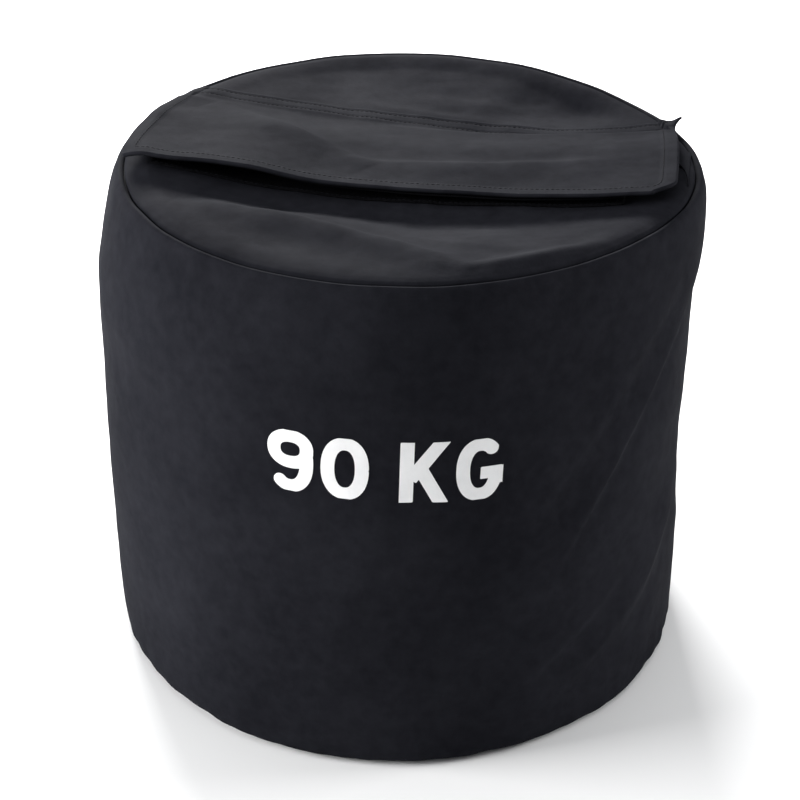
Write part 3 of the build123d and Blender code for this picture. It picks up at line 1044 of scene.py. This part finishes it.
def flap_end(y, side):
    """Where the flap's ends lie along X: they follow powers of the way back, and a bell makes the ear."""
    share = (y - flap_front) / (flap_back - flap_front)
    if side < 0:
        return -186 + 13 * share**2.2 + 3 * ease((-40 - y) / 14)
    corner = 15 * ease((flap_front + 22 - y) / 22) ** 2
    ear = 5 * np.exp(-(((y - flap_back + 3) / 5) ** 2))
    return 199 - 9 * share**2 - corner + ear


flap_rows = np.concatenate(
    [
        np.linspace(flap_back, flap_root - 6, 26)[:-1],
        np.linspace(flap_root - 6, flap_front + 15, 56)[:-1],
        np.linspace(flap_front + 15, flap_front, 18),
    ]
)
column_share = np.linspace(-1, 1, flap_columns)
column_share = np.sign(column_share) * (1 - (1 - np.abs(column_share)) ** 1.12)
flap_y = np.broadcast_to(flap_rows[:, None], (len(flap_rows), flap_columns))
left_end = flap_end(flap_y, -1)
right_end = flap_end(flap_y, 1)
flap_x = left_end + (right_end - left_end) * (column_share + 1) / 2
front_curve = 2.0 * np.sin(flap_x / 62 + 0.6) * ease((flap_root - flap_y) / 110)
flap_y = flap_y + front_curve
from_side = np.minimum(flap_x - left_end, right_end - flap_x)
from_edge = np.minimum(flap_rows[:, None] - flap_front, from_side)
folded = ease((hem_width - from_edge) / 1.4) * ease((flap_root - 1 - flap_y) / 8)
pressed = ease((flap_y - flap_root + 6) / 4)
stitch_dip = 0.35 * np.exp(-(((from_edge - hem_stitch) / 0.9) ** 2))
sewn_lines = (flap_back - 3.5, flap_root + 4.5)
for line_y in sewn_lines:
    stitch_dip = np.maximum(stitch_dip, 0.4 * np.exp(-(((flap_y - line_y) / 1.0) ** 2)))
flap_rise = flap_height(flap_x, flap_y) + hem_swell * folded - stitch_dip
flap_upper = np.stack([flap_x, flap_y, flap_rise], axis=-1)
flap_pattern = flap_upper[..., :2]
flap_normals = surface_normals(flap_upper)


def lift_with_flap(piece):
    """A piece of the flap: its transform baked into its points."""
    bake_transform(piece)


hem_extra = (flap_thickness - outer_layer + 0.4) * folded
flap_extra = hem_extra + (sewn_thickness - outer_layer) * pressed * (1 - folded)
flap_piece = cloth_solid("flap", flap_upper, outer_layer + flap_extra, flap_pattern)
finish(flap_piece, ["flap_outer", "flap_seam_strip"], shell_cloth)
lift_with_flap(flap_piece)
lining_cloth = cloth_material(
    "flap_lining_nylon", (0.0065, 0.0067, 0.0085), (0.014, 0.0144, 0.0175), 1400, 0.00005, 0.7, 0.0
)
inner_rows = np.flatnonzero((flap_rows < flap_root - 4.5) & (flap_rows > flap_front + hem_width - 4))
inner_columns = slice(9, flap_columns - 9)
lining_face = (flap_upper - flap_normals * (outer_layer + 0.08))[inner_rows][:, inner_columns]
lining_piece = cloth_solid("flap_underside", lining_face, 1.2, flap_pattern[inner_rows][:, inner_columns])
finish(lining_piece, ["flap_lining"], lining_cloth)
lift_with_flap(lining_piece)


def across_flap(row_y, first, last):
    """The row of the flap's upper face that is nearest to a place along Y, and its normals."""
    row = np.argmin(np.abs(flap_rows - row_y))
    return flap_upper[row, first:last], flap_normals[row, first:last]


side_column = np.argmin(np.abs(from_side[40, : flap_columns // 2] - hem_stitch))
front_row = np.argmin(np.abs(flap_rows - flap_front - hem_stitch))
hem_rows = [across_flap(flap_rows[front_row], side_column, flap_columns - side_column)]
for column in (side_column, flap_columns - 1 - side_column):
    hem_rows.append((flap_upper[24 : front_row + 1, column], flap_normals[24 : front_row + 1, column]))
for line_y in sewn_lines:
    hem_rows.append(across_flap(line_y, 6, flap_columns - 6))
flap_stitches = stitches("flap_stitches", hem_rows)
lift_with_flap(flap_stitches)

# ---------------------------------------------------------------------------------------------------
# Closing tapes. Woven nylon tape with soft loops on the front panel, and with stiff hooks under the
# flap's front edge, each sewn down all the way round.


def pile_material(name, spacing, relief, disorder):
    """Hook or loop tape: close cells as relief, which stand in even or uneven rows. The tint is a painted
    highlight, lighter at the cells' tips, on near-black that is painted shade under the flap.
    """
    material, tree = new_material(name, Specular_IOR_Level=0.02)
    flat = add_node(tree, "ShaderNodeUVMap", uv_map="pattern")
    cells = add_node(tree, "ShaderNodeTexVoronoi", Scale=1 / spacing, Randomness=disorder)
    tree.links.new(flat.outputs[0], cells.inputs["Vector"])
    tip_height_and_highlight = math_node(tree, "SUBTRACT", 1.0, cells.outputs["Distance"])
    # Painted highlight at the tips; both colours are the tape's own black darkened further, as painted shade
    # under the flap's front edge.
    feed_tint(tree, tip_height_and_highlight, (0.002, 0.002, 0.0026), (0.008, 0.008, 0.0095))
    feed_roughness(tree, cells.outputs["Distance"], 0.2, 0.6)
    feed_relief(tree, tip_height_and_highlight, relief)
    return material


# Both tapes lie under the flap; their tint is the tape's black darkened further as painted shade there.
loop_pile = pile_material("loop_pile", 0.0006, 0.0004, 0.9)
hook_pile = pile_material("hook_pile", 0.0013, 0.0006, 0.15)
loop_low, loop_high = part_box("panel_loop_tape")
tape_thickness = (loop_high.z - loop_low.z) / mm
tape_x, tape_y = np.meshgrid(
    np.linspace(loop_low.x / mm, loop_high.x / mm, 220), np.linspace(loop_low.y / mm, loop_high.y / mm, 34)
)
loop_face = np.stack([tape_x, tape_y, top_height(tape_x, tape_y) + tape_thickness + 0.05], axis=-1)
loop_piece = cloth_solid("loop_tape", loop_face, tape_thickness, loop_face[..., :2])
finish_sheet(
    loop_piece, "panel_loop_tape", loop_pile,
)
hook_drop = flap_thickness + hem_swell + 0.1
hook_face = np.stack([tape_x, tape_y, flap_height(tape_x, tape_y) - hook_drop], axis=-1)
hook_piece = cloth_solid("hook_tape", hook_face, tape_thickness, hook_face[..., :2])
finish(hook_piece, ["flap_hook_tape"], hook_pile, "flap")


def border(face, inset, normal):
    """The four lines round a grid, a few cells in from its edge, each with its normals."""
    lines = (face[inset, 2:-2], face[-1 - inset, 2:-2], face[inset:-inset, 3], face[inset:-inset, -4])
    return [(line, np.tile(normal, (len(line), 1))) for line in lines]


sew_to_bag("loop_tape_stitches", border(loop_face, 1, [0.0, 0.0, 1.0]))
hook_under = hook_face - [0, 0, tape_thickness]
hook_stitches = stitches("hook_tape_stitches", border(hook_under, 1, [0.0, 0.0, -1.0]))
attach(hook_stitches, "flap")

# ---------------------------------------------------------------------------------------------------
# Weight figure. Thin white film, cut to plain figures and pressed onto the wall with heat, so that the weave
# shows through it a little, as relief and as painted shade in its hollows. It is set level on the front and
# sinks slightly to its right end.
mark_azimuth = math.radians(8)
mark_middle = 247.0
mark_tilt = math.radians(-1.6)
mark_film = 0.3
film_gap = 0.03
half_stroke = 4.6
half_tall = 23.0
half_wide = 16.0
flatten = 0.88  # under 1 makes an oval a little squarer
bow_wide = half_wide - half_stroke
bow_tall = half_tall - half_stroke * flatten


def bow(start, end, wide, tall, centre_y=0.0, steps=48):
    """Points along an oval's middle line between two angles: powers of the cosine and the sine."""
    turn = np.radians(np.linspace(start, end, steps))
    return np.stack(
        [
            wide * np.sign(np.cos(turn)) * np.abs(np.cos(turn)) ** flatten,
            centre_y + tall * np.sign(np.sin(turn)) * np.abs(np.sin(turn)) ** flatten,
        ],
        axis=1,
    )


figures = (
    # place of the middle, then the strokes' middle lines
    (-63.0, (bow(0, 360, bow_wide, 9.9, 9.0), bow(12, -128, bow_wide, bow_tall))),
    (-26.0, (bow(0, 360, bow_wide, bow_tall),)),
    (
        26.0,
        (
            np.array([[-bow_wide, -30.0], [-bow_wide, 30.0]]),
            np.array([[-9.0, -5.0], [14.5, 28.0]]),
            np.array([[-3.5, 5.0], [14.0, -28.0]]),
        ),
    ),
    (
        63.0,
        (
            bow(46, 352, bow_wide, bow_tall),
            np.array([[bow_wide, -12.0], [bow_wide, 1.2]]),
            np.array([[0.5, -3.0], [half_wide - 1, -3.0]]),
        ),
    ),
)


def figure_distance(across, up):
    """Distance to the figures' outline, negative inside: that of the nearest stroke, a run of boxes."""
    place = np.stack([across, up], axis=-1)[..., None, :]
    nearest = np.full(across.shape, 99.0)
    for middle, strokes in figures:
        for line in strokes:
            first, last = line[:-1] + [middle, 0], line[1:] + [middle, 0]
            length = np.linalg.norm(last - first, axis=1)
            heading = (last - first) / length[:, None]
            step = place - first
            along = (step * heading).sum(axis=-1)
            off = np.abs(step[..., 0] * heading[:, 1] - step[..., 1] * heading[:, 0])
            box = np.maximum(off - half_stroke, np.maximum(-along, along - length))
            nearest = np.minimum(nearest, box.min(axis=-1))
            if len(line) > 2:
                joints = np.linalg.norm(place - (line[1:-1] + [middle, 0]), axis=-1) - half_stroke
                nearest = np.minimum(nearest, joints.min(axis=-1))
    return np.maximum(nearest, np.abs(up) - half_tall)


cell = 0.8
mark_half_length, mark_half_height = 84, 25
mark_across, mark_up = np.meshgrid(
    np.arange(-mark_half_length, mark_half_length, cell), np.arange(-mark_half_height, mark_half_height, cell)
)
inside = figure_distance(mark_across[:-1, :-1] + cell / 2, mark_up[:-1, :-1] + cell / 2) < 0
mark_faces = grid_faces(*mark_across.shape)[inside.ravel()]
flat_place = np.stack([mark_across.ravel(), mark_up.ravel()], axis=1)
directed = np.concatenate([mark_faces[:, [i, (i + 1) % 4]] for i in range(4)])
code = directed[:, 0] * len(flat_place) + directed[:, 1]
opposite = directed[:, 1] * len(flat_place) + directed[:, 0]
outline = directed[~np.isin(code, opposite)]
edge_points = np.unique(outline)
for _ in range(3):
    x, y = flat_place[edge_points].T
    gap = figure_distance(x, y)
    slope_x = (figure_distance(x + 0.05, y) - figure_distance(x - 0.05, y)) / 0.1
    slope_y = (figure_distance(x, y + 0.05) - figure_distance(x, y - 0.05)) / 0.1
    size = np.maximum(slope_x**2 + slope_y**2, 0.25)
    flat_place[edge_points] -= 0.8 * (gap / size)[:, None] * np.stack([slope_x, slope_y], axis=1)
used, renumbered = np.unique(mark_faces, return_inverse=True)
mark_faces = renumbered.reshape(-1, 4)
outline = np.searchsorted(used, outline)
flat_place = flat_place[used]
tilted_x = flat_place[:, 0] * math.cos(mark_tilt) - flat_place[:, 1] * math.sin(mark_tilt)
tilted_y = flat_place[:, 0] * math.sin(mark_tilt) + flat_place[:, 1] * math.cos(mark_tilt)
mark_turn = mark_azimuth + tilted_x / bag_radius
mark_out = on_wall(mark_turn, mark_middle + tilted_y, mark_film + film_gap)
mark_in = on_wall(mark_turn, mark_middle + tilted_y, film_gap)
count = len(used)
mark_sides = np.stack([outline[:, 1], outline[:, 0], outline[:, 0] + count, outline[:, 1] + count], axis=1)
mark_piece = make_piece(
    "weight_figure",
    np.concatenate([mark_out, mark_in]),
    np.concatenate([mark_faces, mark_faces[:, ::-1] + count, mark_sides]),
    np.concatenate([flat_place, flat_place]),
)
mark_piece.data.set_sharp_from_angle(angle=math.radians(50))
film, film_tree = new_material("white_film", Specular_IOR_Level=0.4)
film_weave = weave_height(film_tree, shell_threads)
film_mottle = marks_on(film_tree)["Mottle"]
# The film's tone: random mottle, plus the weave's height as painted shade in its hollows.
film_mottle_and_weave_shade = math_node(film_tree, "ADD", film_mottle, film_weave)
feed_tint(film_tree, film_mottle_and_weave_shade, (0.7, 0.7, 0.7), (0.93, 0.93, 0.93))
feed_roughness(film_tree, film_mottle, 0.2, 0.4)
feed_relief(film_tree, film_weave, 0.00005, 0.6)
finish(mark_piece, ["weight_mark"], film, "bag")

# ---------------------------------------------------------------------------------------------------
# Lights and floor. The main light stands low behind the bag's left, a second one to its left, a broad
# one hangs overhead and a weak one fills from the right, over a plain pale floor.
bpy.context.scene.view_settings.view_transform = "Standard"
world = bpy.data.worlds.new("studio")
world.use_nodes = True
world.node_tree.nodes["Background"].inputs["Color"].default_value = (0.95, 0.97, 1.0, 1)
world.node_tree.nodes["Background"].inputs["Strength"].default_value = 0.26
bpy.context.scene.world = world
aim_height = 0.25


def soft_light(name, place, size, power):
    """A rectangular area light that faces the upper middle of the bag."""
    data = bpy.data.lights.new(name, "AREA")
    data.shape = "RECTANGLE"
    data.size, data.size_y = size
    data.energy = power
    lamp = bpy.data.objects.new(name, data)
    lamp.location = place
    bpy.context.scene.collection.objects.link(lamp)
    heading = -lamp.location
    heading.z += aim_height
    lamp.rotation_euler = heading.to_track_quat("-Z", "Y").to_euler()


soft_light("left_light", (-1.88, -0.68, 0.8), (1.0, 1.2), 64)
soft_light("back_light", (-0.8, 2.0, 1.2), (1.2, 0.5), 122)
soft_light("over_light", (0.3, -0.2, 2.7), (2.4, 2.4), 25)
soft_light("right_light", (1.85, 0.5, 0.8), (0.6, 0.8), 22)
floor_mesh = bpy.data.meshes.new("floor")
floor_reach = 6.0
floor_corners = [(x * floor_reach, y * floor_reach, 0) for x, y in ((-1, -1), (1, -1), (1, 1), (-1, 1))]
floor_mesh.from_pydata(floor_corners, [], [(0, 1, 2, 3)])
floor = bpy.data.objects.new("floor", floor_mesh)
bpy.context.scene.collection.objects.link(floor)
floor_paint = new_material("floor_paint", Base_Color=(0.9, 0.9, 0.9, 1), Roughness=0.85)[0]
floor_mesh.materials.append(floor_paint)
